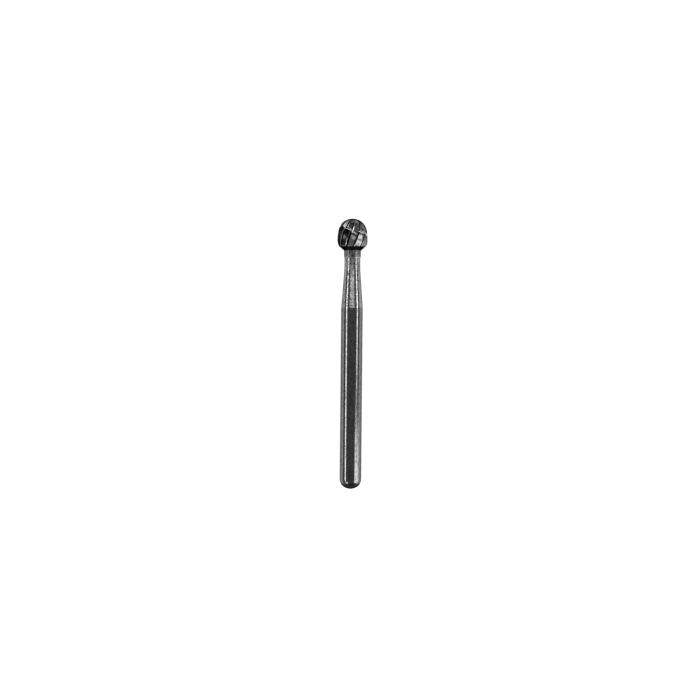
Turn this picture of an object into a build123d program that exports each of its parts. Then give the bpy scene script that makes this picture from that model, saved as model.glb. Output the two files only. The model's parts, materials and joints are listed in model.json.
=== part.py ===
from build123d import *

import os
from math import atan, cos, radians, sin, tan

# Round carbide burr with a friction-grip shank: a fluted tungsten carbide head, brazed to a
# steel shank, lying on its side. Lengths are in mm and angles in degrees.

# Steel shank
shank_diameter = 1.60
grip_length = 13.40        # plain cylinder that the chuck holds, its rounded end included
end_dome_height = 0.72     # how far the rounded end reaches into the grip length
neck_diameter = 1.18
neck_length = 3.69         # from the grip to the braze joint
neck_straight = 0.80       # slimmest stretch, next to the braze joint
neck_blend_radius = 8.0    # where the taper runs into the slimmest stretch

# Braze joint
braze_thickness = 0.08
braze_diameter = 1.26

# Carbide head: stem, back cone and toothed ball
stem_diameter = 1.24
stem_length = 0.45
back_cone_height = 0.33    # from the stem to the edge of the ball
ball_diameter = 2.26
ball_height = 2.05
ball_widest = 0.55         # height of the widest circle above the edge of the ball
ball_edge_diameter = 2.00
tip_flatness = 0.44        # reach of the outline's level run at the tip
shoulder_drop = 0.25       # drop from the tip to where the outline turns down the side

# Teeth: right-hand helix, right-hand cut
tooth_count = 12
tooth_phase = 101.5        # azimuth of the first cutting edge at the widest circle
helix_angle = 20.0
gullet_depth = 0.19
edge_gullet_depth = 0.11   # shallower where the flutes leave the ball at its edge
rake_angle = -4.0
heel_share = 0.27          # of the tooth pitch, from a cutting edge to the heel of the next tooth
heel_drop = 0.012          # how far the heel lies below the ball
land_width = 0.055
cutter_clearance = 0.15    # how far the grinding wheel's outline stands out of the ball
flute_runout = 0.25        # overrun of each flute past the edge of the ball
flute_stations = 7
tip_web = 0.10             # outline length left unground at the tip

# Chip breakers: one notch across each tooth, stepped round the ball
notch_width = 0.22
notch_depth = 0.11
notch_slope = 25.0         # down to the next tooth's side, from square to the axis
notch_dive = 13.0          # how steeply the notch follows the top of its tooth
notch_length = 0.48        # past the heel of a tooth as wide as the ball, less on a narrower one
notch_overrun = 0.05       # length of the cut in front of the cutting edge
first_notch = 0.88         # distance of the first tooth's notch from the tip
notch_step = 0.12
notch_stagger = 0.24       # further from the tip, on one tooth in each stagger cycle
stagger_cycle = 3

# Heights along the tool's axis, from the end of the shank
neck_top = grip_length + neck_length
braze_top = neck_top + braze_thickness
stem_top = braze_top + stem_length
ball_base = stem_top + back_cone_height
ball_tip = ball_base + ball_height
widest_height = ball_base + ball_widest
ball_radius = ball_diameter / 2
shank_radius = shank_diameter / 2

# The tool lies on the floor, on the end of its grip and on a cutting edge, which the helix
# brings within a quarter pitch of the lowest line. The tool plane stands at the end of the
# shank, square to the axis.
tooth_pitch = 360 / tooth_count
rest_radius = ball_radius * cos(radians(tooth_pitch / 4))
tilt = atan((rest_radius - shank_radius) / (widest_height - end_dome_height))
end_height = shank_radius * cos(tilt) - end_dome_height * sin(tilt)

tool = Plane(
    origin=(0, -ball_tip / 2 * cos(tilt), end_height),
    x_dir=(1, 0, 0),
    z_dir=(0, cos(tilt), sin(tilt)),
)
# Half sections are drawn on this plane: x is the radius, y the height along the axis.
half_section = Plane(origin=tool.origin, x_dir=(1, 0, 0), z_dir=(0, -sin(tilt), cos(tilt)))
tool_axis = Axis(tool.origin, tool.z_dir)


# Outline of the ball, from the tip past the widest circle to its edge at the back cone
with BuildLine() as ball_outline:
    crown = Bezier(
        (0, ball_tip),
        (tip_flatness, ball_tip),
        (ball_radius, ball_tip - shoulder_drop),
        (ball_radius, widest_height),
    )
    TangentArc(crown @ 1, (ball_edge_diameter / 2, ball_base), tangent=crown % 1)
outline = ball_outline.wires()[0]


def outline_station(distance):
    # Radius, height and inward-bound slope of the ball's outline at a distance from the tip.
    # Past the ball's edge the outline goes on straight.
    inside = min(distance, outline.length)
    point = outline.position_at(inside, position_mode=PositionMode.LENGTH)
    slope = outline.tangent_at(inside, position_mode=PositionMode.LENGTH)
    point += slope * (distance - inside)
    return point.X, point.Y, slope


def edge_plane(distance, tooth=0):
    # Plane across a tooth at a distance from the tip, in the axes of the upright tool. Its
    # origin is on the cutting edge, x points round the ball and y straight out of it. Each
    # cutting edge climbs the ball as a right-hand helix.
    radius, height, slope = outline_station(distance)
    lead = tan(radians(helix_angle)) / ball_radius
    azimuth = radians(tooth_phase + tooth * tooth_pitch) + lead * (height - widest_height)
    return Plane(
        origin=(radius * cos(azimuth), radius * sin(azimuth), height),
        x_dir=(-sin(azimuth), cos(azimuth), 0),
        z_dir=(slope.X * cos(azimuth), slope.X * sin(azimuth), slope.Y),
    )


def gullet_section(distance):
    # Corners of one gullet's section on its edge plane: down the rake face of the first tooth,
    # up to the heel of the next one, along that tooth's flat top until it is clear of the ball,
    # and back over the land.
    radius, _, slope = outline_station(distance)
    size = radius / ball_radius
    bend_radius = radius / -slope.Y
    pitch_angle = atan(tan(radians(tooth_pitch)) * -slope.Y)
    land_angle = pitch_angle - land_width * size / bend_radius
    heel_angle = pitch_angle * heel_share
    rise = min(max((distance - crown.length) / (outline.length - crown.length), 0), 1)
    depth = (gullet_depth + (edge_gullet_depth - gullet_depth) * rise) * size
    clearance = cutter_clearance * size
    centre = Vector(0, -bend_radius)
    face = Vector(tan(radians(rake_angle)), 1)
    heel_out = Vector(sin(heel_angle), cos(heel_angle))
    land_out = Vector(sin(land_angle), cos(land_angle))
    heel = centre + heel_out * (bend_radius - heel_drop * size)
    land = centre + land_out * bend_radius
    corners = (
        face * clearance,
        face * -depth,
        heel,
        land + (land - heel).normalized() * clearance,
        land + land_out * clearance,
    )
    return [(corner.X, corner.Y) for corner in corners]


# One gullet between two teeth, as the solid that the grinding wheel removes
with BuildPart() as gullet:
    station_step = (outline.length + flute_runout - tip_web) / (flute_stations - 1)
    for station in range(flute_stations):
        distance = tip_web + station * station_step
        with BuildSketch(edge_plane(distance)):
            Polygon(*gullet_section(distance), align=None)
    loft()


def notch_distance(tooth):
    # How far from the tip one tooth's notch crosses its cutting edge
    stagger = notch_stagger if tooth % stagger_cycle == 0 else 0
    return first_notch + tooth * notch_step + stagger


def notch_plane(tooth):
    # Plane square to one tooth's notch, in the axes of the upright tool. It stands in front of
    # the cutting edge, with z along the notch and y out of the ball.
    edge = edge_plane(notch_distance(tooth), tooth)
    slope, dive = radians(notch_slope), radians(notch_dive)
    level = edge.x_dir * -cos(slope) + edge.z_dir * -sin(slope)
    along = level * cos(dive) + edge.y_dir * -sin(dive)
    return Plane(
        origin=edge.origin - along * notch_overrun,
        x_dir=edge.y_dir.cross(level),
        z_dir=along,
    )


# All the chip breakers, as vee-shaped cuts
with BuildPart() as notches:
    for tooth in range(tooth_count):
        half_width = notch_width / 2 * (1 + cutter_clearance / notch_depth)
        with BuildSketch(notch_plane(tooth)):
            Polygon(
                (0, -notch_depth),
                (half_width, cutter_clearance),
                (-half_width, cutter_clearance),
                align=None,
            )
        size = outline_station(notch_distance(tooth))[0] / ball_radius
        extrude(amount=notch_overrun + notch_length * size)

# Cutting head: toothed ball, back cone and stem in one piece of carbide
with BuildPart(tool) as cutting_head:
    with BuildSketch(half_section):
        with BuildLine():
            add(ball_outline.line)
            Polyline(
                (ball_edge_diameter / 2, ball_base),
                (stem_diameter / 2, stem_top),
                (stem_diameter / 2, braze_top),
                (0, braze_top),
                (0, ball_tip),
            )
        make_face()
    revolve(axis=tool_axis)
    with PolarLocations(0, tooth_count):
        add(gullet.part, mode=Mode.SUBTRACT)
    add(notches.part, mode=Mode.SUBTRACT)
cutting_head.part.label = "cutting_head"

# Braze joint: a thin bead between the stem and the neck
with BuildPart(tool) as braze_joint:
    with BuildSketch(half_section):
        with BuildLine():
            Polyline(
                (stem_diameter / 2, braze_top),
                (0, braze_top),
                (0, neck_top),
                (neck_diameter / 2, neck_top),
            )
            ThreePointArc(
                (neck_diameter / 2, neck_top),
                (braze_diameter / 2, neck_top + braze_thickness / 2),
                (stem_diameter / 2, braze_top),
            )
        make_face()
    revolve(axis=tool_axis)
braze_joint.part.label = "braze_joint"

# Shank: rounded end, plain grip and tapered neck, turned and ground from one steel bar
with BuildPart(tool) as shank:
    with BuildSketch(half_section):
        with BuildLine():
            EllipticalCenterArc(
                (0, end_dome_height),
                shank_radius,
                end_dome_height,
                start_angle=-90,
                arc_size=90,
            )
            Line((shank_radius, end_dome_height), (shank_radius, grip_length))
            FilletPolyline(
                (shank_radius, grip_length),
                (neck_diameter / 2, neck_top - neck_straight),
                (neck_diameter / 2, neck_top),
                radius=neck_blend_radius,
            )
            Polyline((neck_diameter / 2, neck_top), (0, neck_top), (0, 0))
        make_face()
    revolve(axis=tool_axis)
shank.part.label = "shank"

os.makedirs("parts", exist_ok=True)
for piece in (cutting_head, braze_joint, shank):
    export_step(piece.part, f"parts/{piece.part.label}.step")
    print(piece.part.label, f"{piece.part.volume:.3f} mm3")
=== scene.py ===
import json
from math import asin, atan2, cos, hypot, pi, radians, sin, tan

import bmesh
import bpy
from mathutils import Matrix, Vector


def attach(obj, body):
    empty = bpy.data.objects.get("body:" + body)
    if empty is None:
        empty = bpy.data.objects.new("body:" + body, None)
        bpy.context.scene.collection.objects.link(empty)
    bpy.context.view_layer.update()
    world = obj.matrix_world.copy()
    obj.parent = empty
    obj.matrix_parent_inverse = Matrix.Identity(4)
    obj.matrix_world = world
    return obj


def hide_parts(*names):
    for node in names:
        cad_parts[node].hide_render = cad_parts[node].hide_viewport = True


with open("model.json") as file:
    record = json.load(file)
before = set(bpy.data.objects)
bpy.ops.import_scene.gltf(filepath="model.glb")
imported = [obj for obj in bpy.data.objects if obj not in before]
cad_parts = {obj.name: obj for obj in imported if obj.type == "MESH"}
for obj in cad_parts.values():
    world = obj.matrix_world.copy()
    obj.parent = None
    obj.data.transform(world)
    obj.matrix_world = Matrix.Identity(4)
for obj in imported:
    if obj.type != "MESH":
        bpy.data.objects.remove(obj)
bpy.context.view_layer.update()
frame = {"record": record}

mm = 0.001
weldDistance = 1e-8  # points of a mesh that are closer than this are one point

# Measures shared by the pieces, the same as the solids' own
tool = {
    "endDomeHeight": 0.72 * mm,
    "gripLength": 13.40 * mm,
    "neckTop": 17.09 * mm,
    "brazeTop": 17.17 * mm,
    "shankRadius": 0.80 * mm,
    "neckRadius": 0.59 * mm,
    "stemRadius": 0.62 * mm,
}

# The tool's own axes, from the grip mount: z runs from the end of the shank to the tip.
grip = frame["record"]["mounts"][0]
toolAxis = -Vector(grip["axis"]).normalized()
shankEnd = Vector(grip["pos_m"]) - toolAxis * tool["endDomeHeight"]
toolTilt = asin(toolAxis.z)
toolMatrix = Matrix.Translation(shankEnd) @ Matrix.Rotation(toolTilt - pi / 2, 4, "X")


def finishMesh(mesh, sharpAngle):
    # Doubles go first, then the faces are turned outwards and shaded smooth up to an angle.
    shape = bmesh.new()
    shape.from_mesh(mesh)
    bmesh.ops.remove_doubles(shape, verts=shape.verts, dist=weldDistance)
    bmesh.ops.recalc_face_normals(shape, faces=shape.faces)
    shape.to_mesh(mesh)
    shape.free()
    mesh.shade_smooth()
    mesh.set_sharp_from_angle(angle=radians(sharpAngle))
    mesh.update()


def addPiece(name, mesh, node, material):
    mesh.name = name
    mesh.materials.clear()
    mesh.materials.append(material)
    piece = bpy.data.objects.new(name, mesh)
    bpy.context.scene.collection.objects.link(piece)
    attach(piece, "root")
    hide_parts(node)


def wayAlong(points):
    # How far each point of a line is from its start.
    travelled = [0.0]
    for start, end in zip(points, points[1:]):
        travelled.append(travelled[-1] + hypot(end[0] - start[0], end[1] - start[1]))
    return travelled


def latheMesh(name, outline, columns):
    # Turns an outline of (radius, height) points about the tool's axis. The UV map holds the
    # way round in turns and the way along the outline in millimetres.
    shape = bmesh.new()
    uvLayer = shape.loops.layers.uv.new("UVMap")
    travelled = wayAlong(outline)
    rings = []
    for column in range(columns + 1):
        turn = 2 * pi * column / columns + pi / 2
        rings.append([
            shape.verts.new((radius * cos(turn), radius * sin(turn), height))
            for radius, height in outline
        ])
    for column in range(columns):
        for row in range(len(outline) - 1):
            corners = (
                (column, row),
                (column + 1, row),
                (column + 1, row + 1),
                (column, row + 1),
            )
            face = shape.faces.new([rings[c][r] for c, r in corners])
            for loop, (c, r) in zip(face.loops, corners):
                loop[uvLayer].uv = (c / columns, travelled[r] / mm)
    shape.transform(toolMatrix)
    mesh = bpy.data.meshes.new(name)
    shape.to_mesh(mesh)
    shape.free()
    return mesh


def bezierPoints(controls, count):
    # Points of a cubic Bezier curve in the plane.
    points = []
    for step in range(count + 1):
        t = step / count
        weights = ((1 - t) ** 3, 3 * t * (1 - t) ** 2, 3 * t * t * (1 - t), t ** 3)
        points.append(tuple(
            sum(weight * control[axis] for weight, control in zip(weights, controls))
            for axis in (0, 1)
        ))
    return points


class NodeSheet:
    # Short way to write nodes: each call adds one and gives back its first output, or the
    # one that is asked for.
    def __init__(self, tree):
        self.tree = tree
        tree.nodes.clear()

    def add(self, kind, inputs=None, output=0, **settings):
        node = self.tree.nodes.new(kind)
        for setting, value in settings.items():
            setattr(node, setting, value)
        for socket, value in (inputs or {}).items():
            self.feed(node.inputs[socket], value)
        return node.outputs[output]

    def feed(self, socket, value):
        if isinstance(value, bpy.types.NodeSocket):
            self.tree.links.new(value, socket)
        else:
            socket.default_value = value

    def calc(self, operation, *values):
        return self.add("ShaderNodeMath", dict(enumerate(values)), operation=operation)

    def total(self, first, *others):
        for other in others:
            first = self.calc("ADD", first, other)
        return first

    def product(self, first, *others):
        for other in others:
            first = self.calc("MULTIPLY", first, other)
        return first


def evenPoints(points, count):
    # The same line again, as points an even distance apart.
    travelled = wayAlong(points)
    even, leg = [], 0
    for step in range(count + 1):
        goal = travelled[-1] * step / count
        while leg < len(points) - 2 and travelled[leg + 1] < goal:
            leg += 1
        share = (goal - travelled[leg]) / (travelled[leg + 1] - travelled[leg])
        start, end = points[leg], points[leg + 1]
        even.append(tuple(a + (b - a) * share for a, b in zip(start, end)))
    return even


def arcPoints(start, startAngle, turn, radius, count):
    # Points of an arc that leaves start in one direction and turns by an angle, both in the
    # plane of radius and height.
    side = 1 if turn > 0 else -1
    centre = (
        start[0] - side * radius * sin(startAngle),
        start[1] + side * radius * cos(startAngle),
    )
    points = []
    for step in range(count + 1):
        angle = startAngle + turn * step / count
        points.append((
            centre[0] + side * radius * sin(angle),
            centre[1] - side * radius * cos(angle),
        ))
    return points


def roundCorner(before, corner, after, radius, count):
    # Points of the arc that rounds the corner between two straight legs.
    arrive = atan2(corner[1] - before[1], corner[0] - before[0])
    leave = atan2(after[1] - corner[1], after[0] - corner[0])
    turn = (leave - arrive + pi) % (2 * pi) - pi
    trim = radius * tan(abs(turn) / 2)
    start = (corner[0] - trim * cos(arrive), corner[1] - trim * sin(arrive))
    return arcPoints(start, arrive, turn, radius, count)


# Cutting head: toothed ball, collar and stem, swept by Geometry Nodes
head = {
    "teeth": 12,
    "firstTooth": radians(101.5),     # where the first cutting edge crosses the widest circle
    "helixAngle": radians(20.0),
    "ballRadius": 1.13 * mm,
    "ballTip": 20.0 * mm,
    "widestHeight": 18.50 * mm,
    "edgeRadius": 1.00 * mm,
    "edgeHeight": 17.95 * mm,
    "stemTop": 17.62 * mm,
    "tipFlatness": 0.44 * mm,
    "shoulderDrop": 0.25 * mm,
    "gulletDepth": 0.19 * mm,
    "edgeGulletDepth": 0.11 * mm,
    "rakeAngle": radians(-4.0),
    "heelShare": 0.27,                # of the pitch, from a cutting edge to the next heel
    "heelDrop": 0.012 * mm,           # relief of each tooth's flat top at its heel
    "heelRound": 0.34,                # share of the heel wall that its rounding takes
    "heelRoundTop": 0.45,             # the same along the flat top, as a share of heelRound
    "heelRoundFade": (-0.4, -1.2),    # none and full, in notch widths past the notch
    "landWidth": 0.055 * mm,
    "tipWeb": 0.10 * mm,
    "tipFade": (0.6, 1.6),            # in tip webs, where the flutes fade in from the tip
    "leastSlope": 0.02,               # keeps the bend radius finite at the tip
    "notchWidth": 0.22 * mm,
    "notchDepth": 0.11 * mm,
    "notchSlope": radians(25.0),
    "notchDive": radians(13.0),
    "notchReach": 0.468 * mm,         # from the cutting edge, less on a narrower tooth
    "notchOverrun": 0.05 * mm,        # in front of the cutting edge
    "notchRound": 0.022 * mm,         # at the bottom of the vee
    "notchEndRise": 6.0,              # how steeply its floor rises past its two ends
    "outlineBend": 1.15,              # bend radius of the ball's outline, in ball radii
    "wallMark": 0.15,                 # share of the depth at which a wall is fully marked
    "firstNotch": 0.88 * mm,
    "notchStep": 0.12 * mm,
    "notchStagger": 0.24 * mm,
    "staggerCycle": 3,
    "collarFillet": 0.05 * mm,
    "crownPoints": 400,               # of the outline, before it is cut into even rows
    "flankPoints": 80,
    "ballRows": 200,
    "runoutRows": 8,
    "collarRows": 10,
    "filletRows": 5,
    "stemRows": 12,
    "toothColumns": 28,
    "faceColumns": 5,                 # down the rake face of each tooth
    "wallColumns": 5,                 # up the heel wall of the next one
    "roundColumns": 4,                # round its heel
    "landColumns": 2,                 # along its land
    "sharpAngle": 24,
}


def headOutline():
    # Half outline of the head as a line of vertices. Each row says where the flute's surface
    # starts from, how the outline runs there, and its share of the runout and of the collar.
    crown = bezierPoints(
        (
            (0, head["ballTip"]),
            (head["tipFlatness"], head["ballTip"]),
            (head["ballRadius"], head["ballTip"] - head["shoulderDrop"]),
            (head["ballRadius"], head["widestHeight"]),
        ),
        head["crownPoints"],
    )
    inset = head["ballRadius"] - head["edgeRadius"]
    flankDrop = head["widestHeight"] - head["edgeHeight"]
    flankRadius = (inset ** 2 + flankDrop ** 2) / (2 * inset)
    flankTurn = asin(flankDrop / flankRadius)
    flank = arcPoints(crown[-1], -pi / 2, -flankTurn, flankRadius, head["flankPoints"])
    crownLength = wayAlong(crown)[-1]
    edgeLength = wayAlong(crown + flank[1:])[-1]
    rows = evenPoints(crown + flank[1:], head["ballRows"])
    slopes = []
    for row in range(len(rows)):
        before, after = rows[max(row - 1, 0)], rows[min(row + 1, len(rows) - 1)]
        step = Vector((after[0] - before[0], 0, after[1] - before[1]))
        slopes.append(step.normalized())
    slopes[0] = Vector((1, 0, 0))
    slopes[-1] = Vector((-sin(flankTurn), 0, -cos(flankTurn)))
    step = edgeLength / head["ballRows"]
    table = [
        (point, point, slope, row * step, 0, 0)
        for row, (point, slope) in enumerate(zip(rows, slopes))
    ]
    edge = rows[-1]
    corner = (tool["stemRadius"], head["stemTop"])
    stemEnd = (tool["stemRadius"], tool["brazeTop"])
    fillet = roundCorner(edge, corner, stemEnd, head["collarFillet"], head["filletRows"])
    for row in range(1, head["runoutRows"] + 1):
        share = row / head["runoutRows"]
        table.append((edge, edge, slopes[-1], edgeLength, share, 0))
    for row in range(1, head["collarRows"] + 1):
        share = row / head["collarRows"]
        table.append((fillet[0], edge, slopes[-1], edgeLength, 1, share))
    stem = evenPoints([fillet[-1], stemEnd], head["stemRows"])
    for point in fillet[1:] + stem[1:] + [(0, tool["brazeTop"])]:
        table.append((point, edge, slopes[-1], edgeLength, 1, 1))
    points, starts, runs, lengths, runoutShares, collarShares = zip(*table)
    mesh = bpy.data.meshes.new("headOutline")
    mesh.from_pydata([(radius, 0, height) for radius, height in points], [], [])
    starts = [(radius, 0, height) for radius, height in starts]
    fields = (
        ("fluteStart", "FLOAT_VECTOR", "vector", starts),
        ("outlineRun", "FLOAT_VECTOR", "vector", runs),
        ("fromTip", "FLOAT", "value", lengths),
        ("runoutShare", "FLOAT", "value", runoutShares),
        ("collarShare", "FLOAT", "value", collarShares),
    )
    for name, kind, key, values in fields:
        field = mesh.attributes.new(name, kind, "POINT")
        for item, value in zip(field.data, values):
            setattr(item, key, value)
    collarRun = Vector((corner[0] - edge[0], 0, corner[1] - edge[1]))
    collarTurn = slopes[-1].angle(collarRun)
    return mesh, crownLength, edgeLength, collarTurn


def toothTree(material, sizes):
    # Every grid point gets its place from its row in the outline and its column round the
    # teeth: down the rake face, up the back of the next tooth and along its land.
    tree = bpy.data.node_groups.new("toothedHead", "GeometryNodeTree")
    sheet = NodeSheet(tree)
    tree.interface.new_socket("Geometry", in_out="INPUT", socket_type="NodeSocketGeometry")
    tree.interface.new_socket("Geometry", in_out="OUTPUT", socket_type="NodeSocketGeometry")
    for name, value in sizes.items():
        kind = "NodeSocketInt" if isinstance(value, int) else "NodeSocketFloat"
        tree.interface.new_socket(name, in_out="INPUT", socket_type=kind)
    given = tree.nodes.new("NodeGroupInput").outputs
    calc, total, product = sheet.calc, sheet.total, sheet.product

    grid = tree.nodes.new("GeometryNodeMeshGrid")
    columns = product(given["Teeth"], given["Tooth Columns"])
    sheet.feed(grid.inputs["Size X"], 1.0)
    sheet.feed(grid.inputs["Size Y"], 1.0)
    sheet.feed(grid.inputs["Vertices X"], total(columns, 1))
    sheet.feed(grid.inputs["Vertices Y"], given["Rows"])
    gridMap = tree.nodes.new("ShaderNodeSeparateXYZ")
    sheet.feed(gridMap.inputs[0], grid.outputs["UV Map"])
    column = calc("ROUND", product(gridMap.outputs["X"], columns))
    lastRow = calc("SUBTRACT", given["Rows"], 1)
    row = calc("ROUND", product(gridMap.outputs["Y"], lastRow))

    def fromOutline(field, kind):
        return sheet.add(
            "GeometryNodeSampleIndex",
            {"Geometry": given["Geometry"], "Value": field, "Index": row},
            data_type=kind,
            domain="POINT",
        )

    def stored(name, kind):
        field = sheet.add("GeometryNodeInputNamedAttribute", {"Name": name}, data_type=kind)
        return fromOutline(field, kind)

    def parts(vector):
        node = tree.nodes.new("ShaderNodeSeparateXYZ")
        sheet.feed(node.inputs[0], vector)
        return node.outputs["X"], node.outputs["Z"]

    def remap(value, low, high, first=0.0, last=1.0, smooth=False):
        return sheet.add(
            "ShaderNodeMapRange",
            {"Value": value, "From Min": low, "From Max": high,
             "To Min": first, "To Max": last},
            interpolation_type="SMOOTHSTEP" if smooth else "LINEAR",
        )

    def between(first, last, share):
        return total(first, product(calc("SUBTRACT", last, first), share))

    outlineRadius, outlineHeight = parts(
        fromOutline(sheet.add("GeometryNodeInputPosition"), "FLOAT_VECTOR"))
    startRadius, startHeight = parts(stored("fluteStart", "FLOAT_VECTOR"))
    runOut, runDown = parts(stored("outlineRun", "FLOAT_VECTOR"))
    fromTip = stored("fromTip", "FLOAT")
    runoutShare = stored("runoutShare", "FLOAT")
    collarShare = stored("collarShare", "FLOAT")

    # Which tooth and which part of its section
    tooth = calc("FLOOR", calc("DIVIDE", total(column, 0.5), given["Tooth Columns"]))
    step = calc("SUBTRACT", column, product(tooth, given["Tooth Columns"]))
    landStart = calc("SUBTRACT", given["Tooth Columns"], given["Land Columns"])
    roundStart = total(given["Face Columns"], given["Wall Columns"])
    topStart = total(roundStart, given["Round Columns"])
    faceShare = remap(step, 0.0, given["Face Columns"])
    wallShare = remap(step, given["Face Columns"], roundStart)
    roundShare = remap(step, roundStart, topStart)
    topShare = remap(step, topStart, landStart)
    landShare = remap(step, landStart, given["Tooth Columns"])

    # How far the point is below the chip breaker of its tooth, at the cutting edge
    onBack = calc("GREATER_THAN", total(step, 0.5), given["Face Columns"])
    ownTooth = calc("MODULO", total(tooth, onBack), given["Teeth"])
    isStaggered = calc("LESS_THAN", calc("MODULO", ownTooth, given["Stagger Cycle"]), 0.5)
    notchPlace = total(given["First Notch"], product(ownTooth, given["Notch Step"]),
                       product(isStaggered, given["Notch Stagger"]))
    down = calc("SUBTRACT", fromTip, notchPlace)

    # Section across the tooth, from the cutting edge: x round the ball and y out of it. The
    # heel is rounded from the tip down to the chip breaker.
    upright = calc("MAXIMUM", product(runDown, -1.0), head["leastSlope"])
    size = calc("DIVIDE", startRadius, given["Ball Radius"])
    bend = calc("DIVIDE", startRadius, upright)
    turn = calc("DIVIDE", 2 * pi, given["Teeth"])
    pitch = calc("ARCTANGENT", product(calc("TANGENT", turn), upright))
    land = calc("DIVIDE", product(given["Land Width"], upright), given["Ball Radius"])
    landAngle = calc("SUBTRACT", pitch, land)
    arcAngle = between(landAngle, pitch, landShare)
    fullDepth = remap(fromTip, given["Crown Length"], given["Edge Length"],
                      given["Gullet Depth"], given["Edge Gullet Depth"])
    fadeStart, fadeEnd = head["tipFade"]
    tipFade = remap(fromTip, product(given["Tip Web"], fadeStart),
                    product(given["Tip Web"], fadeEnd), smooth=True)
    depth = product(fullDepth, size, tipFade)
    rootX = product(depth, calc("TANGENT", given["Rake Angle"]), -1.0)
    rootY = product(depth, -1.0)
    heelAngle = product(pitch, given["Heel Share"])
    heelReach = calc("SUBTRACT", bend, product(given["Heel Drop"], size, tipFade))
    heelX = product(heelReach, calc("SINE", heelAngle))
    heelY = calc("SUBTRACT", product(heelReach, calc("COSINE", heelAngle)), bend)
    landX = product(bend, calc("SINE", landAngle))
    landY = product(bend, calc("SUBTRACT", calc("COSINE", landAngle), 1.0))
    alongLandX = calc("SUBTRACT", calc("SINE", arcAngle), calc("SINE", landAngle))
    alongLandY = calc("SUBTRACT", calc("COSINE", arcAngle), calc("COSINE", landAngle))
    roundFade, roundFull = head["heelRoundFade"]
    rounding = product(given["Heel Round"], tipFade,
                       remap(down, product(given["Notch Width"], roundFade),
                             product(given["Notch Width"], roundFull)))
    bulge = product(roundShare, calc("SUBTRACT", 1.0, roundShare), 2.0)

    def acrossTooth(root, heel, land, alongLand):
        wallEnd = between(heel, root, rounding)
        topEnd = between(heel, land, product(rounding, head["heelRoundTop"]))
        chord = calc("SUBTRACT", heel, product(total(wallEnd, topEnd), 0.5))
        value = between(product(root, faceShare), wallEnd, wallShare)
        value = total(between(value, topEnd, roundShare), product(bulge, chord))
        return total(between(value, land, topShare), product(bend, alongLand))

    sectionX = acrossTooth(rootX, heelX, landX, alongLandX)
    sectionY = acrossTooth(rootY, heelY, landY, alongLandY)
    offset = calc("ARCTAN2", sectionX, total(startRadius, product(sectionY, upright)))
    reach = calc("SQRT", total(calc("POWER", sectionX, 2.0),
                               calc("POWER", total(bend, sectionY), 2.0)))
    sunk = calc("SUBTRACT", bend, reach)

    # Chip breaker of the tooth that the point is on
    lead = calc("DIVIDE", calc("TANGENT", given["Helix Angle"]), given["Ball Radius"])
    fromEdge = calc("SUBTRACT", offset, product(onBack, turn))
    edgeShift = product(down, upright, lead, -1.0)
    pointRadius = calc("SUBTRACT", startRadius, product(sunk, upright))
    across = product(pointRadius, calc("SINE", total(fromEdge, edgeShift)))
    slopeCos = calc("COSINE", given["Notch Slope"])
    slopeSin = calc("SINE", given["Notch Slope"])
    alongNotch = product(total(product(across, slopeCos), product(down, slopeSin)), -1.0)
    besideNotch = calc("SUBTRACT", product(down, slopeCos), product(across, slopeSin))
    ballDrop = total(
        calc("DIVIDE", calc("POWER", across, 2.0), product(bend, 2.0)),
        calc("DIVIDE", calc("POWER", down, 2.0),
             product(given["Ball Radius"], 2 * head["outlineBend"])),
    )
    surface = product(total(sunk, ballDrop), -1.0)
    fromMiddle = calc("SQRT", total(calc("POWER", besideNotch, 2.0),
                                    calc("POWER", given["Notch Round"], 2.0)))
    wall = calc("DIVIDE", fromMiddle, product(given["Notch Width"], 0.5))
    vee = product(calc("DIVIDE", given["Notch Depth"], calc("COSINE", given["Notch Dive"])),
                  calc("SUBTRACT", 1.0, wall))
    pastEnd = calc("MAXIMUM", calc("SUBTRACT", alongNotch,
                                   product(given["Notch Reach"], size)), 0.0)
    before = calc("MAXIMUM", calc("SUBTRACT", product(alongNotch, -1.0),
                                  given["Notch Overrun"]), 0.0)
    notchFloor = total(
        product(alongNotch, calc("TANGENT", given["Notch Dive"]), -1.0),
        product(vee, -1.0),
        product(total(pastEnd, before), head["notchEndRise"]),
    )
    cut = calc("MAXIMUM", calc("SUBTRACT", surface, notchFloor), 0.0)
    sunkAll = total(sunk, cut)
    onTipSide = calc("LESS_THAN", besideNotch, 0.0)
    notchWall = product(remap(cut, 0.0, product(given["Notch Depth"], head["wallMark"])),
                        calc("SUBTRACT", product(onTipSide, 2.0), 1.0))

    # Out along the flutes' runout and the collar, and round by the helix
    runoutLength = calc("DIVIDE", product(runoutShare, sunkAll),
                        calc("TANGENT", given["Collar Turn"]))
    fluteRadius = total(startRadius, product(sunkAll, runDown),
                        product(runOut, runoutLength))
    fluteHeight = total(startHeight, product(sunkAll, runOut, -1.0),
                        product(runDown, runoutLength))
    radius = between(fluteRadius, outlineRadius, collarShare)
    height = between(fluteHeight, outlineHeight, collarShare)
    helixTurn = product(lead, calc("SUBTRACT", height, given["Widest Height"]))
    azimuth = total(given["First Tooth"], product(tooth, turn), offset, helixTurn)
    position = sheet.add("ShaderNodeCombineXYZ", {
        "X": product(radius, calc("COSINE", azimuth)),
        "Y": product(radius, calc("SINE", azimuth)),
        "Z": height,
    })
    shaped = sheet.add("GeometryNodeSetPosition",
                       {"Geometry": grid.outputs["Mesh"], "Position": position})

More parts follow.
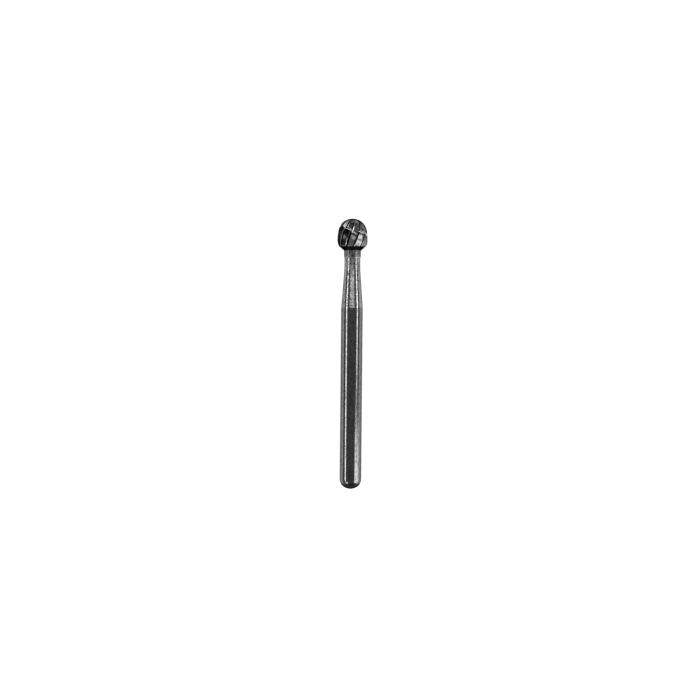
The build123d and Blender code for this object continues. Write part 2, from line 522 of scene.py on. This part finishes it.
    # What the material reads: a map, how far the point is past its tooth's chip breaker in
    # millimetres, and 1 or -1 on the chip breaker's two walls. The map holds the section's
    # number with the share of it, and the way from the tip in millimetres, to which the
    # flutes' runout and the collar each add one, whatever their lengths.
    toothMap = sheet.add("ShaderNodeCombineXYZ", {
        "X": product(gridMap.outputs["X"], given["Teeth"]),
        "Y": calc("DIVIDE", total(fromTip, product(total(runoutShare, collarShare), mm)), mm),
    })
    mapped = sheet.add("GeometryNodeStoreNamedAttribute",
                       {"Geometry": shaped, "Name": "ToothMap", "Value": toothMap},
                       data_type="FLOAT2", domain="CORNER")
    marked = sheet.add("GeometryNodeStoreNamedAttribute",
                       {"Geometry": mapped, "Name": "notchWall", "Value": notchWall},
                       data_type="FLOAT", domain="POINT")
    measured = sheet.add("GeometryNodeStoreNamedAttribute",
                         {"Geometry": marked, "Name": "pastNotch",
                          "Value": calc("DIVIDE", besideNotch, mm)},
                         data_type="FLOAT", domain="POINT")
    flat = sheet.add("GeometryNodeRealizeInstances", {"Geometry": measured})
    dressed = sheet.add("GeometryNodeSetMaterial", {"Geometry": flat, "Material": material})
    tree.links.new(dressed, tree.nodes.new("NodeGroupOutput").inputs[0])
    return tree


def makeHead(material, outline, crownLength, edgeLength, collarTurn):
    sizes = {
        "Teeth": head["teeth"],
        "Tooth Columns": head["toothColumns"],
        "Face Columns": head["faceColumns"],
        "Wall Columns": head["wallColumns"],
        "Round Columns": head["roundColumns"],
        "Land Columns": head["landColumns"],
        "Rows": len(outline.vertices),
        "First Tooth": head["firstTooth"],
        "Helix Angle": head["helixAngle"],
        "Ball Radius": head["ballRadius"],
        "Widest Height": head["widestHeight"],
        "Crown Length": crownLength,
        "Edge Length": edgeLength,
        "Collar Turn": collarTurn,
        "Gullet Depth": head["gulletDepth"],
        "Edge Gullet Depth": head["edgeGulletDepth"],
        "Rake Angle": head["rakeAngle"],
        "Heel Share": head["heelShare"],
        "Heel Drop": head["heelDrop"],
        "Heel Round": head["heelRound"],
        "Land Width": head["landWidth"],
        "Tip Web": head["tipWeb"],
        "Notch Width": head["notchWidth"],
        "Notch Depth": head["notchDepth"],
        "Notch Slope": head["notchSlope"],
        "Notch Dive": head["notchDive"],
        "Notch Reach": head["notchReach"],
        "Notch Overrun": head["notchOverrun"],
        "Notch Round": head["notchRound"],
        "First Notch": head["firstNotch"],
        "Notch Step": head["notchStep"],
        "Notch Stagger": head["notchStagger"],
        "Stagger Cycle": head["staggerCycle"],
    }
    maker = bpy.data.objects.new("headMaker", outline)
    bpy.context.scene.collection.objects.link(maker)
    tree = toothTree(material, sizes)
    modifier = maker.modifiers.new("Teeth", "NODES")
    modifier.node_group = tree
    for item in tree.interface.items_tree:
        if item.name in sizes:
            modifier[item.identifier] = sizes[item.name]
    bpy.context.view_layer.update()
    shown = maker.evaluated_get(bpy.context.evaluated_depsgraph_get())
    mesh = bpy.data.meshes.new_from_object(shown)
    maker.modifiers.remove(modifier)
    bpy.data.objects.remove(maker)
    mesh.transform(toolMatrix)
    finishMesh(mesh, head["sharpAngle"])
    addPiece("toothedHead", mesh, "cutting_head", material)


# Braze joint: a thin bead between the stem and the neck
bead = {
    "radius": 0.63 * mm,
    "neckSwell": 0.008 * mm,  # how far its face's control points stand past its radius
    "stemSwell": 0.012 * mm,
    "rows": 10,
    "columns": 144,
    "sharpAngle": 40,
}


def makeBead(material):
    middle = (tool["neckTop"] + tool["brazeTop"]) / 2
    controls = (
        (tool["neckRadius"], tool["neckTop"]),
        (bead["radius"] + bead["neckSwell"], tool["neckTop"]),
        (bead["radius"] + bead["stemSwell"], middle),
        (tool["stemRadius"], tool["brazeTop"]),
    )
    face = bezierPoints(controls, bead["rows"])
    outline = [(0, tool["neckTop"])] + face + [(0, tool["brazeTop"])]
    mesh = latheMesh("brazeBead", outline, bead["columns"])
    finishMesh(mesh, bead["sharpAngle"])
    addPiece("brazeBead", mesh, "braze_joint", material)


# Shank: rounded end, plain grip and tapered neck
shank = {
    "neckStraight": 0.80 * mm,
    "neckBlendRadius": 8.0 * mm,
    "domeRows": 28,
    "gripRows": 40,
    "neckRows": 24,
    "blendRows": 12,
    "straightRows": 6,
    "columns": 160,
    "sharpAngle": 3,          # low, to keep the corner where the grip meets the neck
}


def makeShank(material):
    radius, dome = tool["shankRadius"], tool["endDomeHeight"]
    outline = []
    for row in range(shank["domeRows"] + 1):
        angle = pi / 2 * row / shank["domeRows"]
        outline.append((radius * sin(angle), dome * (1 - cos(angle))))
    gripTop = (radius, tool["gripLength"])
    bendPoint = (tool["neckRadius"], tool["neckTop"] - shank["neckStraight"])
    neckEnd = (tool["neckRadius"], tool["neckTop"])
    blend = roundCorner(gripTop, bendPoint, neckEnd, shank["neckBlendRadius"],
                        shank["blendRows"])
    outline += evenPoints([outline[-1], gripTop], shank["gripRows"])[1:]
    outline += evenPoints([gripTop, blend[0]], shank["neckRows"])[1:]
    outline += blend[1:]
    outline += evenPoints([blend[-1], neckEnd], shank["straightRows"])[1:]
    outline.append((0, tool["neckTop"]))
    mesh = latheMesh("steelShank", outline, shank["columns"])
    finishMesh(mesh, shank["sharpAngle"])
    addPiece("steelShank", mesh, "shank", material)


def newMaterial(name):
    material = bpy.data.materials.new(name)
    material.use_nodes = True
    sheet = NodeSheet(material.node_tree)
    surface = material.node_tree.nodes.new("ShaderNodeBsdfPrincipled")
    output = material.node_tree.nodes.new("ShaderNodeOutputMaterial")
    material.node_tree.links.new(surface.outputs[0], output.inputs[0])
    return material, sheet, surface


def toolPlace(sheet):
    # The point in the upright tool's own axes, in millimetres.
    coordinates = sheet.tree.nodes.new("ShaderNodeTexCoord")
    return sheet.add(
        "ShaderNodeMapping",
        {
            "Vector": coordinates.outputs["Object"],
            "Location": shankEnd,
            "Rotation": (toolTilt - pi / 2, 0, 0),
            "Scale": (mm, mm, mm),
        },
        vector_type="TEXTURE",
    )


def pattern(sheet, place, settings):
    # Noise, read at a place that is stretched first.
    stretch, scale, detail, roughness = settings
    stretched = sheet.add("ShaderNodeVectorMath", {0: place, 1: stretch},
                          operation="MULTIPLY")
    return sheet.add("ShaderNodeTexNoise", {
        "Vector": stretched, "Scale": scale, "Detail": detail, "Roughness": roughness,
    })


def swing(sheet, value, amount):
    # What a pattern adds where it is light and takes away where it is dark.
    return sheet.product(sheet.calc("SUBTRACT", value, 0.5), amount)


def blendColours(sheet, share, first, last):
    node = sheet.tree.nodes.new("ShaderNodeMix")
    node.data_type = "RGBA"
    sheet.feed(node.inputs["Factor"], share)
    firstColour, lastColour, mixedColour = node.inputs[6], node.inputs[7], node.outputs[2]
    sheet.feed(firstColour, first)
    sheet.feed(lastColour, last)
    return mixedColour


def grey(level, warmth=0.0):
    return (level * (1 + warmth), level, level * (1 - warmth), 1)


def shaderRemap(sheet, value, low, high, first=0.0, last=1.0):
    return sheet.add("ShaderNodeMapRange", {
        "Value": value, "From Min": low, "From Max": high, "To Min": first, "To Max": last,
    })


def finishMetal(sheet, surface, colour, roughness, height, strength, look):
    sheet.feed(surface.inputs["Base Color"], colour)
    surface.inputs["Metallic"].default_value = 1.0
    sheet.feed(surface.inputs["Roughness"], roughness)
    sheet.feed(surface.inputs["Normal"], sheet.add("ShaderNodeBump", {
        "Strength": strength, "Distance": look["bumpDistance"], "Height": height,
    }))


# In the looks, a fade runs from its first number to its second, in millimetres unless
# its note says otherwise. A pattern has a stretch, a scale, a detail and a roughness.
steelLook = {
    "colour": 0.19,
    "stainColour": 0.07,
    "stainWarmth": 0.01,
    "neckColour": 0.38,
    "neckFade": 0.02,         # from the grip's finish to the neck's, on each side
    "scuffColour": 0.24,
    "scuffShare": 0.4,
    # painted shade on the end dome; its added roughness is the end's own finish
    "endShade": 0.03,
    "endFade": (0.48, 0.36),  # heights above the end of the shank, as the next one
    "brazeFade": (15.9, 16.5),
    "edgeTint": 0.35,
    "gripRoughness": 0.13,
    "neckRoughness": 0.12,
    "roughnessSpread": 0.10,
    "endRoughness": 0.2,      # added, as the next one
    "brazeRoughness": 0.14,
    "rings": ((0.4, 0.4, 26.0), 1.0, 3.0, 0.5),
    "scuffs": ((5.0, 5.0, 0.5), 2.0, 3.0, 0.5),
    "blotches": ((1.0, 1.0, 0.6), 8.0, 3.0, 0.6),
    "mottles": ((1.4, 1.4, 1.0), 5.5, 4.0, 0.65),
    "scuffFade": (0.5, 0.8),  # levels of the pattern, as the next two
    "blotchFade": (0.42, 0.72),
    "mottleFade": (0.46, 0.62),
    "ringHeight": 0.7,
    "scuffHeight": 0.5,
    "mottleHeight": 2.0,
    "gripBump": 0.25,
    "neckBump": 0.6,          # the neck is turned, the grip is ground
    "bumpDistance": 0.004 * mm,
}


def makeSteel():
    look = steelLook
    material, sheet, surface = newMaterial("groundSteel")
    place = toolPlace(sheet)
    split = sheet.tree.nodes.new("ShaderNodeSeparateXYZ")
    sheet.feed(split.inputs[0], place)
    along = split.outputs["Z"]
    rings = pattern(sheet, place, look["rings"])
    scuffs = pattern(sheet, place, look["scuffs"])
    blotches = pattern(sheet, place, look["blotches"])
    mottles = pattern(sheet, place, look["mottles"])
    gripTop = tool["gripLength"] / mm
    onNeck = shaderRemap(sheet, along, gripTop - look["neckFade"], gripTop + look["neckFade"])
    onEnd = shaderRemap(sheet, along, *look["endFade"])
    nearBraze = shaderRemap(sheet, along, *look["brazeFade"])
    stain = sheet.calc(
        "MAXIMUM",
        shaderRemap(sheet, blotches, *look["blotchFade"]),
        sheet.product(onNeck, shaderRemap(sheet, mottles, *look["mottleFade"])),
    )
    streak = sheet.product(shaderRemap(sheet, scuffs, *look["scuffFade"]), look["scuffShare"])
    colour = grey(look["colour"])
    for reach, finish in (
        (onNeck, grey(look["neckColour"])),
        (stain, grey(look["stainColour"], look["stainWarmth"])),
        (streak, grey(look["scuffColour"])),
        # painted shade on the end dome
        (onEnd, grey(look["endShade"])),
    ):
        colour = blendColours(sheet, reach, colour, finish)
    rough = sheet.total(
        shaderRemap(sheet, onNeck, 0.0, 1.0, look["gripRoughness"], look["neckRoughness"]),
        swing(sheet, rings, look["roughnessSpread"]),
        swing(sheet, blotches, look["roughnessSpread"]),
        sheet.product(onEnd, look["endRoughness"]),
        sheet.product(nearBraze, look["brazeRoughness"]),
    )
    height = sheet.total(
        sheet.product(rings, look["ringHeight"]),
        sheet.product(scuffs, look["scuffHeight"]),
        sheet.product(mottles, onNeck, look["mottleHeight"]),
    )
    strength = shaderRemap(sheet, onNeck, 0.0, 1.0, look["gripBump"], look["neckBump"])
    finishMetal(sheet, surface, colour, rough, height, strength, look)
    surface.inputs["Specular Tint"].default_value = grey(look["edgeTint"])
    return material


carbideLook = {
    # Painted light and shade: how bright the top past each gullet is, from the first gullet
    # round the head: between its chip breaker and the grip, and between its chip breaker and
    # the tip
    "toothLightAndShade": (0.14, 0.30, 0.12, 0.06, 0.05, 0.44, 0.26, 0.24, 0.20, 0.28, 0.14, 0.24),
    "crownLightAndShade": (0.30, 0.14, 0.24, 0.60, 0.20, 0.38, 0.14, 0.10, 0.32, 0.14, 0.26, 0.12),
    # The last number is the share of these colours that is left at the first distance, past
    # the chip breaker and past the tip, as painted shade. At the second distance all of it is
    # there.
    "toothShadeFade": (0.1, 0.6, 0.35),
    "crownShadeFade": (0.8, 1.15, 0.45),
    "streakDepth": 0.45,
    "streakLines": 0.6,
    "streakClouds": 0.4,
    "streakFade": (0.42, 0.62),        # levels of the pattern
    # painted shade on the rake faces and on the chip breakers' grip-side walls
    "faceShade": 0.05,
    "rootShade": 0.012,
    "rootFade": (0.18, 0.02),          # shares of the tooth's section, for the painted shade in the gullets' roots
    # painted highlight along the lands of the cutting edges
    "landHighlight": 0.24,
    "landFade": 0.02,                  # share of the tooth's section, on each side
    "highlightShine": 2.4,                  # times the crown's colour, as painted highlight beside the chip breakers
    "wallFade": (0.3, 0.9),            # levels of the mark on the chip breakers' walls, for their painted highlight and shade
    "heelFade": (-0.55, -0.35),        # past the chip breaker, so on the side of the tip
    "bottomHighlight": 0.16,              # painted highlight round the bottom of the teeth
    "bottomShare": 0.5,
    "bottomFade": (-0.12, -0.05),      # past the edge of the ball
    # nearly black painted shade on the collar; its added roughness is the collar's own finish
    "collarShade": 0.015,
    "collarFade": (0.01, 0.08),        # past that edge, in shares of the flutes' runout
    "stemFade": (1.8, 1.95),           # the same, with 2 at the end of the collar
    "stemColour": 0.22,
    "stemStain": 0.03,
    "stainFade": (0.4, 0.62),          # levels of the pattern
    "edgeTint": 0.05,
    "roughness": 0.18,
    "lineRoughness": 0.2,
    "collarRoughness": 0.2,            # added, as the next one
    "stemRoughness": 0.22,
    "lines": ((9.0, 0.8, 1.0), 1.6, 3.0, 0.6),
    "grain": ((1.0, 1.0, 1.0), 26.0, 2.0, 0.5),
    "clouds": ((1.0, 1.0, 1.0), 7.0, 3.0, 0.6),
    "grainHeight": 0.4,
    "stemHeight": 2.0,
    "bump": 0.35,
    "bumpDistance": 0.004 * mm,
}


def makeCarbide(ballLength):
    look = carbideLook
    material, sheet, surface = newMaterial("groundCarbide")
    toothMap = sheet.add("ShaderNodeUVMap", uv_map="ToothMap")
    split = sheet.tree.nodes.new("ShaderNodeSeparateXYZ")
    sheet.feed(split.inputs[0], toothMap)
    share = sheet.calc("FRACT", split.outputs["X"])
    fromTip = split.outputs["Y"]
    wall = sheet.add("ShaderNodeAttribute", attribute_name="notchWall", output="Fac")
    pastNotch = sheet.add("ShaderNodeAttribute", attribute_name="pastNotch", output="Fac")
    columns = head["toothColumns"]
    faceEnd = head["faceColumns"] / columns
    heelStart = (head["faceColumns"] + head["wallColumns"]) / columns
    heelEnd = heelStart + head["roundColumns"] / columns
    landStart = 1 - head["landColumns"] / columns
    place = toolPlace(sheet)
    lines = pattern(sheet, toothMap, look["lines"])
    grain = pattern(sheet, place, look["grain"])
    clouds = pattern(sheet, place, look["clouds"])

    def toothBands(levels):
        node = sheet.tree.nodes.new("ShaderNodeValToRGB")
        ramp = node.color_ramp
        ramp.interpolation = "CONSTANT"
        for tooth, level in enumerate(levels):
            stop = tooth / head["teeth"]
            band = ramp.elements[0] if tooth == 0 else ramp.elements.new(stop)
            band.position = stop
            band.color = grey(level)
        ramp.elements.remove(ramp.elements[-1])
        sheet.feed(node.inputs[0], sheet.calc("DIVIDE", split.outputs["X"], head["teeth"]))
        return node.outputs[0]

    def scaled(colour, factor):
        return sheet.add("ShaderNodeVectorMath", {0: colour, "Scale": factor},
                         operation="SCALE")

    def paintShade(colour, value, start, end, level):
        return scaled(colour, shaderRemap(sheet, value, start, end, level, 1.0))

    def pastEdge(fade):
        start, end = fade
        return shaderRemap(sheet, fromTip, ballLength + start, ballLength + end)

    # The ground tops carry painted light and shade for each tooth, more painted shade past
    # the chip breakers and round the tip, and streaks
    onCrown = sheet.calc("LESS_THAN", pastNotch, 0.0)
    # Painted light and shade: one level for the top of each tooth, below and above its chip
    # breaker
    tooth = toothBands(look["toothLightAndShade"])
    crown = toothBands(look["crownLightAndShade"])
    bands = blendColours(sheet, onCrown, paintShade(tooth, pastNotch, *look["toothShadeFade"]),
                         paintShade(crown, fromTip, *look["crownShadeFade"]))
    streaks = sheet.total(sheet.product(lines, look["streakLines"]),
                          sheet.product(clouds, look["streakClouds"]))
    streaks = shaderRemap(sheet, streaks, *look["streakFade"])
    fade = sheet.calc("SUBTRACT", 1.0, sheet.product(streaks, look["streakDepth"]))
    colour = scaled(bands, fade)

    # Painted highlight on the rounded heels and the chip breakers' tip-side walls: the
    # crown's colour made brighter, up to white
    paintedHighlight = sheet.add("ShaderNodeVectorMath",
                     {0: scaled(crown, look["highlightShine"]), 1: (1.0, 1.0, 1.0)},
                     operation="MINIMUM")

    # These go over the tops, one after another
    fromRoot = sheet.calc("ABSOLUTE", sheet.calc("SUBTRACT", share, faceEnd))
    wallStart, wallFull = look["wallFade"]
    onHeel = sheet.product(
        sheet.calc("GREATER_THAN", share, heelStart),
        sheet.calc("LESS_THAN", share, heelEnd),
        shaderRemap(sheet, pastNotch, *look["heelFade"]),
        onCrown,
    )
    onLand = shaderRemap(sheet, share, landStart - look["landFade"],
                         landStart + look["landFade"])
    onCollar = pastEdge(look["collarFade"])
    onStem = pastEdge(look["stemFade"])
    stem = blendColours(sheet, shaderRemap(sheet, clouds, *look["stainFade"]),
                        grey(look["stemColour"]), grey(look["stemStain"]))
    for reach, finish in (
        # painted shade on the rake faces
        (sheet.calc("LESS_THAN", share, faceEnd), grey(look["faceShade"])),
        # painted highlight along the lands
        (onLand, grey(look["landHighlight"])),
        # painted highlight round the bottom of the teeth
        (sheet.product(pastEdge(look["bottomFade"]), look["bottomShare"]),
         grey(look["bottomHighlight"])),
        # painted highlight on the rounded heels and on the chip breakers' tip-side walls
        (onHeel, paintedHighlight),
        (shaderRemap(sheet, wall, wallStart, wallFull), paintedHighlight),
        # painted shade on the chip breakers' grip-side walls
        (shaderRemap(sheet, wall, -wallStart, -wallFull), grey(look["faceShade"])),
        # painted shade in the gullets' roots
        (shaderRemap(sheet, fromRoot, *look["rootFade"]), grey(look["rootShade"])),
        # nearly black painted shade on the collar
        (onCollar, grey(look["collarShade"])),
        (onStem, stem),
    ):
        colour = blendColours(sheet, reach, colour, finish)
    rough = sheet.total(
        look["roughness"],
        swing(sheet, lines, look["lineRoughness"]),
        sheet.product(sheet.calc("SUBTRACT", onCollar, onStem), look["collarRoughness"]),
        sheet.product(onStem, look["stemRoughness"]),
    )
    height = sheet.total(lines, sheet.product(grain, look["grainHeight"]),
                         sheet.product(clouds, onStem, look["stemHeight"]))
    finishMetal(sheet, surface, colour, rough, height, look["bump"], look)
    surface.inputs["Specular Tint"].default_value = grey(look["edgeTint"])
    return material


brazeLook = {
    "colour": 0.46,
    "warmth": 0.01,
    "stainColour": 0.184,
    "stainWarmth": 0.02,
    "stainFade": (0.4, 0.7),  # levels of the pattern
    "roughness": 0.34,
    "roughnessSpread": 0.3,
    "clouds": ((1.0, 1.0, 1.0), 5.0, 4.0, 0.6),
    "pits": ((1.0, 1.0, 1.0), 22.0, 2.0, 0.5),
    "bump": 0.4,
    "bumpDistance": 0.01 * mm,
}


def makeBraze():
    look = brazeLook
    material, sheet, surface = newMaterial("silverBraze")
    place = toolPlace(sheet)
    clouds = pattern(sheet, place, look["clouds"])
    pits = pattern(sheet, place, look["pits"])
    colour = blendColours(sheet, shaderRemap(sheet, clouds, *look["stainFade"]),
                          grey(look["colour"], look["warmth"]),
                          grey(look["stainColour"], look["stainWarmth"]))
    rough = sheet.total(look["roughness"], swing(sheet, clouds, look["roughnessSpread"]))
    finishMetal(sheet, surface, colour, rough, sheet.total(clouds, pits), look["bump"], look)
    return material


studio = {
    "floorSide": 1.2,
    "floorColour": 0.85,
    "floorRoughness": 0.9,
    "floorShine": 0.1,
    "floorGlow": 0.66,        # seen by the camera and in reflections
    "worldLevel": 0.20,
}

# Soft boxes, in millimetres: where each stands, the point it faces, its width, its height
# and its level
softBoxes = {
    "leftStrip": ((-75, -29, 48), (0, -29, 0), 15, 92, 6.0),
    "rightStrip": ((77, 34, 45), (0, 34, 0), 15, 78, 5.8),
    "rightPanel": ((82, -47, 34), (0, -47, 10), 82, 74, 3.6),
    "backOverhead": ((0, 27, 165), (0, 8, 0), 150, 30, 1.3),
    "frontLeft": ((-68, -91, 58), (0, 9, 0), 36, 36, 4.0),
    "backKicker": ((-60, 68, 14), (0, 8, 0), 60, 26, 3.5),
}


def makeFloor():
    shape = bmesh.new()
    bmesh.ops.create_grid(shape, x_segments=1, y_segments=1, size=studio["floorSide"] / 2)
    mesh = bpy.data.meshes.new("floor")
    shape.to_mesh(mesh)
    shape.free()
    floor = bpy.data.objects.new("floor", mesh)
    bpy.context.scene.collection.objects.link(floor)
    material, sheet, surface = newMaterial("paleFloor")
    surface.inputs["Base Color"].default_value = grey(studio["floorColour"])
    surface.inputs["Roughness"].default_value = studio["floorRoughness"]
    surface.inputs["Specular IOR Level"].default_value = studio["floorShine"]
    surface.inputs["Emission Color"].default_value = grey(1)
    path = sheet.tree.nodes.new("ShaderNodeLightPath")
    seen = sheet.calc("MINIMUM", 1.0, sheet.total(
        path.outputs["Is Camera Ray"],
        path.outputs["Is Glossy Ray"],
        path.outputs["Is Transmission Ray"],
    ))
    sheet.feed(surface.inputs["Emission Strength"], sheet.product(seen, studio["floorGlow"]))
    mesh.materials.append(material)


def addSoftBox(name, place, aim, width, height, level):
    lamp = bpy.data.lights.new(name, "AREA")
    lamp.shape = "RECTANGLE"
    lamp.size = width * mm
    lamp.size_y = height * mm
    lamp.energy = level * pi * lamp.size * lamp.size_y
    holder = bpy.data.objects.new(name, lamp)
    holder.location = Vector(place) * mm
    facing = (Vector(aim) - Vector(place)).normalized()
    side = Vector((0, 1, 0)).cross(facing).normalized()
    turned = Matrix((side, facing.cross(side) * -1, facing * -1)).transposed()
    holder.rotation_euler = turned.to_euler()
    bpy.context.scene.collection.objects.link(holder)


def makeStudio():
    makeFloor()
    world = bpy.data.worlds.new("studio")
    world.use_nodes = True
    background = world.node_tree.nodes["Background"]
    background.inputs["Color"].default_value = grey(studio["worldLevel"])
    background.inputs["Strength"].default_value = 1.0
    bpy.context.scene.world = world
    for name, (place, aim, width, height, level) in softBoxes.items():
        addSoftBox(name, place, aim, width, height, level)


view = {
    "distance": 0.30,
    "frameWidth": 51.78 * mm,
    "centre": (-0.118 * mm, 0.281 * mm),
    "focusHeight": 0.95 * mm,
    "roll": radians(0.52),
    "sensorWidth": 36,        # millimetres
    "nearest": 0.01,
    "farthest": 10,
}


def makeCamera():
    camera = bpy.data.cameras.new("camera")
    camera.sensor_width = view["sensorWidth"]
    camera.lens = camera.sensor_width * view["distance"] / view["frameWidth"]
    camera.clip_start = view["nearest"]
    camera.clip_end = view["farthest"]
    holder = bpy.data.objects.new("camera", camera)
    holder.location = (*view["centre"], view["distance"] + view["focusHeight"])
    holder.rotation_euler = (0, 0, view["roll"])
    bpy.context.scene.collection.objects.link(holder)
    bpy.context.scene.camera = holder


makeCamera()
print("camera ready")
outline, crownLength, edgeLength, collarTurn = headOutline()
makeHead(makeCarbide(edgeLength / mm), outline, crownLength, edgeLength, collarTurn)
print("cutting head ready")
makeBead(makeBraze())
makeShank(makeSteel())
print("braze joint and shank ready")
makeStudio()
bpy.context.scene.view_settings.view_transform = "Standard"
print("studio ready")
